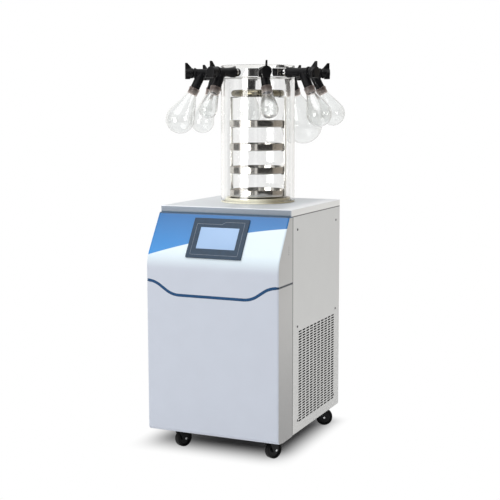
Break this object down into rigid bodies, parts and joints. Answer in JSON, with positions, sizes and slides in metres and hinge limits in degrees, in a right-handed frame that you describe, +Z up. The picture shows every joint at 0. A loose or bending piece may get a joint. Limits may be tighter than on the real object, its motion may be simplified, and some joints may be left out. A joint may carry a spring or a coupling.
{
  "type": "freeze dryer",
  "caption": "Freestanding laboratory freeze dryer: cabinet on swivel casters, clear drying chamber with trays, manifold lid with valves and pear-shaped flasks.",
  "frame": {"origin": "on the floor under the middle of the whole envelope", "axes": "+Z up, +X to the right seen from the front, +Y to the back"},
  "size_m": [0.6063, 0.7343, 1.326],
  "materials": {
    "dark_steel": "matt",
    "grey_paint": "satin powder coat",
    "steel": "brushed",
    "cover_paint": "satin",
    "fascia": "satin",
    "strip": "satin",
    "bezel": "matt",
    "screen": "gloss",
    "ring": "satin",
    "gasket": "clear silicone",
    "acrylic": "polished clear acrylic",
    "valve_rubber": "satin",
    "knob": "satin",
    "glass": "polished",
    "fork": "satin",
    "tyre": "matt",
    "machine_black": "gloss",
    "coil": "bare",
    "fan_plastic": "matt",
    "inlet_plastic": "matt"
  },
  "bodies": {
    "cabinet": {"base_pan": "dark_steel", "chamber_cylinder": "acrylic", "chamber_gasket": "gasket", "cold_trap": "steel", "compressor": "machine_black", "condenser": "coil", "console_fascia": "fascia", "display_bezel": "bezel", "fan_shroud": "dark_steel", "flask_1": "glass", "flask_2": "glass", "flask_3": "glass", "flask_4": "glass", "flask_5": "glass", "flask_6": "glass", "flask_7": "glass", "flask_8": "glass", "front_cover": "cover_paint", "left_side_panel": "grey_paint", "lid_gasket": "gasket", "mains_inlet": "inlet_plastic", "manifold_lid": "acrylic", "rack_cap": "steel", "rear_panel": "grey_paint", "right_side_panel": "grey_paint", "touch_screen": "screen", "trap_ring": "ring", "tray_1": "steel", "tray_2": "steel", "tray_3": "steel", "tray_4": "steel", "tray_rack": "steel", "trim_strip": "strip", "vacuum_port": "steel", "valve_body_1": "valve_rubber", "valve_body_2": "valve_rubber", "valve_body_3": "valve_rubber", "valve_body_4": "valve_rubber", "valve_body_5": "valve_rubber", "valve_body_6": "valve_rubber", "valve_body_7": "valve_rubber", "valve_body_8": "valve_rubber", "worktop": "steel"},
    "knob_1": {"valve_knob_1": "knob"},
    "knob_2": {"valve_knob_2": "knob"},
    "knob_3": {"valve_knob_3": "knob"},
    "knob_4": {"valve_knob_4": "knob"},
    "knob_5": {"valve_knob_5": "knob"},
    "knob_6": {"valve_knob_6": "knob"},
    "knob_7": {"valve_knob_7": "knob"},
    "knob_8": {"valve_knob_8": "knob"},
    "caster_front_left": {"caster_fork_front_left": "fork"},
    "wheel_front_left": {"caster_wheel_front_left": "tyre"},
    "caster_rear_left": {"caster_fork_rear_left": "fork"},
    "wheel_rear_left": {"caster_wheel_rear_left": "tyre"},
    "caster_front_right": {"caster_fork_front_right": "fork"},
    "wheel_front_right": {"caster_wheel_front_right": "tyre"},
    "caster_rear_right": {"caster_fork_rear_right": "fork"},
    "wheel_rear_right": {"caster_wheel_rear_right": "tyre"},
    "fan": {"fan": "fan_plastic"}
  },
  "joints": [
    {"name": "valve_1_turn", "type": "hinge", "parent": "cabinet", "child": "knob_1", "pos_m": [0.12109, -0.18821, 1.29], "axis": [0.5045, -0.8634, 0], "range_deg": [0, 180]},
    {"name": "valve_2_turn", "type": "hinge", "parent": "cabinet", "child": "knob_2", "pos_m": [0.23214, -0.0419, 1.29], "axis": [0.9673, -0.2538, 0], "range_deg": [0, 180]},
    {"name": "valve_3_turn", "type": "hinge", "parent": "cabinet", "child": "knob_3", "pos_m": [0.20722, 0.14009, 1.29], "axis": [0.8634, 0.5045, 0], "range_deg": [0, 180]},
    {"name": "valve_4_turn", "type": "hinge", "parent": "cabinet", "child": "knob_4", "pos_m": [0.0609, 0.25114, 1.29], "axis": [0.2538, 0.9673, 0], "range_deg": [0, 180]},
    {"name": "valve_5_turn", "type": "hinge", "parent": "cabinet", "child": "knob_5", "pos_m": [-0.12109, 0.22621, 1.29], "axis": [-0.5045, 0.8634, 0], "range_deg": [0, 180]},
    {"name": "valve_6_turn", "type": "hinge", "parent": "cabinet", "child": "knob_6", "pos_m": [-0.23214, 0.0799, 1.29], "axis": [-0.9673, 0.2538, 0], "range_deg": [0, 180]},
    {"name": "valve_7_turn", "type": "hinge", "parent": "cabinet", "child": "knob_7", "pos_m": [-0.20722, -0.10209, 1.29], "axis": [-0.8634, -0.5045, 0], "range_deg": [0, 180]},
    {"name": "valve_8_turn", "type": "hinge", "parent": "cabinet", "child": "knob_8", "pos_m": [-0.0609, -0.21314, 1.29], "axis": [-0.2538, -0.9673, 0], "range_deg": [0, 180]},
    {"name": "caster_front_left_swivel", "type": "hinge", "parent": "cabinet", "child": "caster_front_left", "pos_m": [-0.17, -0.268, 0.07], "axis": [0, 0, 1], "continuous": true},
    {"name": "wheel_front_left_spin", "type": "hinge", "parent": "caster_front_left", "child": "wheel_front_left", "pos_m": [-0.16408, -0.25531, 0.0304], "axis": [-0.9063, 0.4226, 0], "continuous": true},
    {"name": "caster_rear_left_swivel", "type": "hinge", "parent": "cabinet", "child": "caster_rear_left", "pos_m": [-0.18, 0.185, 0.07], "axis": [0, 0, 1], "continuous": true},
    {"name": "wheel_rear_left_spin", "type": "hinge", "parent": "caster_rear_left", "child": "wheel_rear_left", "pos_m": [-0.16684, 0.18979, 0.0304], "axis": [-0.342, 0.9397, 0], "continuous": true},
    {"name": "caster_front_right_swivel", "type": "hinge", "parent": "cabinet", "child": "caster_front_right", "pos_m": [0.17, -0.268, 0.07], "axis": [0, 0, 1], "continuous": true},
    {"name": "wheel_front_right_spin", "type": "hinge", "parent": "caster_front_right", "child": "wheel_front_right", "pos_m": [0.17592, -0.25531, 0.0304], "axis": [-0.9063, 0.4226, 0], "continuous": true},
    {"name": "caster_rear_right_swivel", "type": "hinge", "parent": "cabinet", "child": "caster_rear_right", "pos_m": [0.18, 0.185, 0.07], "axis": [0, 0, 1], "continuous": true},
    {"name": "wheel_rear_right_spin", "type": "hinge", "parent": "caster_rear_right", "child": "wheel_rear_right", "pos_m": [0.19316, 0.18979, 0.0304], "axis": [-0.342, 0.9397, 0], "continuous": true},
    {"name": "fan_spin", "type": "hinge", "parent": "cabinet", "child": "fan", "pos_m": [0.1624, -0.017, 0.235], "axis": [1, 0, 0], "continuous": true}
  ]
}
